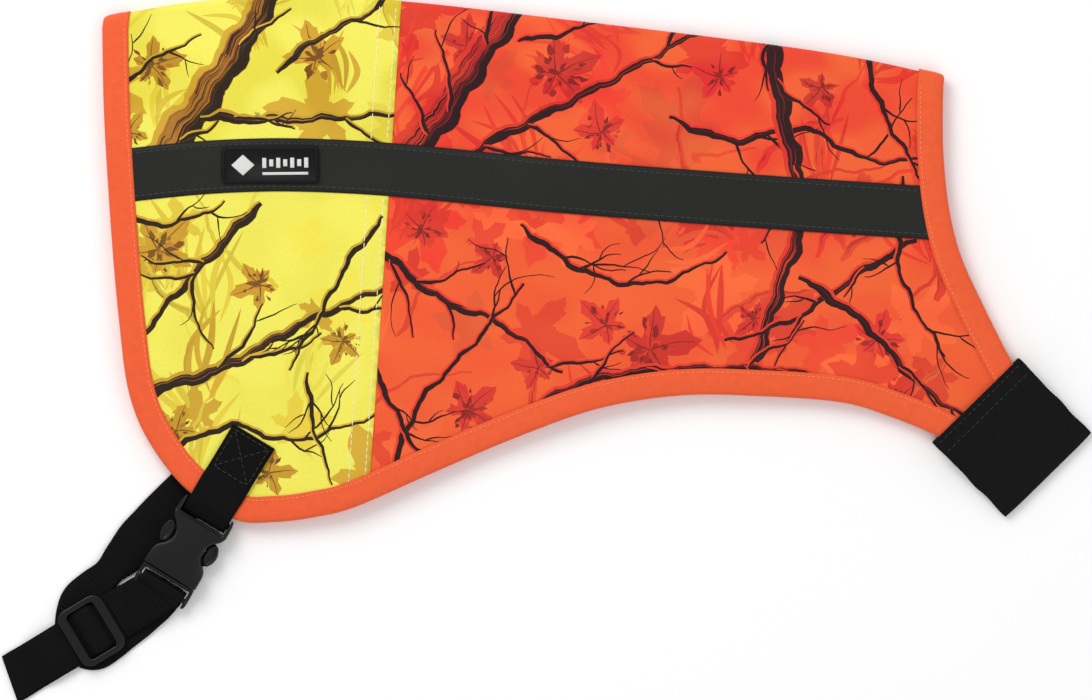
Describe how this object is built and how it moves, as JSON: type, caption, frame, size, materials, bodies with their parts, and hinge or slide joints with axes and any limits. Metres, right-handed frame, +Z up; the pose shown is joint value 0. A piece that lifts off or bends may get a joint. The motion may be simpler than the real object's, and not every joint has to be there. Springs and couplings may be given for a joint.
{
  "type": "hunting dog safety vest",
  "caption": "Blaze orange camouflage dog vest folded flat along its spine, with a yellow rear panel, chest elastic and a buckled belly strap.",
  "frame": {"origin": "middle of the footprint of the folded vest, on the surface that it lies on", "axes": "+X along the spine towards the neck, +Y from the belly hem towards the spine, +Z up from the surface"},
  "size_m": [0.5474, 0.3828, 0.0117],
  "materials": {
    "orange_print": "printed woven polyester, blaze orange with dark branch print, matt",
    "yellow_print": "printed woven polyester, fluorescent yellow with brown branch print, matt",
    "lining": "dark knitted lining",
    "binding": "orange woven binding tape with one stitch row",
    "dark_tape": "dark grey reflective tape, satin",
    "label_rubber": "moulded soft rubber with raised light motif",
    "elastic": "black woven elastic",
    "webbing": "black polypropylene webbing, cross ribbed",
    "buckle_plastic": "moulded acetal, satin"
  },
  "bodies": {
    "far_side": {"far_yellow_panel": "yellow_print", "far_orange_shell": "orange_print", "far_lining": "lining", "far_hem_binding": "binding", "far_neck_binding": "binding", "far_reflective_tape": "dark_tape", "chest_elastic_far": "elastic", "belly_strap_lower_run": "webbing"},
    "near_side": {"near_lining": "lining", "near_orange_shell": "orange_print", "near_yellow_panel": "yellow_print", "near_hem_binding": "binding", "near_neck_binding": "binding", "near_reflective_tape": "dark_tape", "label_patch": "label_rubber", "chest_elastic_near": "elastic", "near_strap_anchor": "webbing", "buckle_female": "buckle_plastic"},
    "male": {"buckle_male": "buckle_plastic", "belly_strap_upper_run": "webbing"},
    "prong_left": {"prong_left": "buckle_plastic"},
    "prong_right": {"prong_right": "buckle_plastic"},
    "tri_glide": {"tri_glide": "buckle_plastic"}
  },
  "joints": [
    {"name": "spine_fold", "type": "hinge", "parent": "far_side", "child": "near_side", "pos_m": [0, 0.1918, 0.00585], "axis": [-1, 0, 0], "range_deg": [0, 15]},
    {"name": "male_release", "type": "slide", "parent": "near_side", "child": "male", "axis": [-0.4119, -0.9112, 0], "range_m": [0, 0.034], "deforming": ["prong_left", "prong_right"]},
    {"name": "prong_left_press", "type": "hinge", "parent": "male", "child": "prong_left", "pos_m": [-0.19915, -0.11373, 0.0063], "axis": [0, 0, -1], "range_deg": [0, 11], "stiffness_Nm_per_rad": 0.02},
    {"name": "prong_right_press", "type": "hinge", "parent": "male", "child": "prong_right", "pos_m": [-0.18184, -0.12156, 0.0063], "axis": [0, 0, 1], "range_deg": [0, 11], "stiffness_Nm_per_rad": 0.02},
    {"name": "slider_travel", "type": "slide", "parent": "male", "child": "tri_glide", "axis": [-0.7861, -0.6181, 0], "range_m": [-0.01, 0.025], "deforming": ["belly_strap_upper_run"]}
  ],
  "couplings": [
    {"joint": "prong_right_press", "follows": "prong_left_press", "ratio": 1}
  ]
}
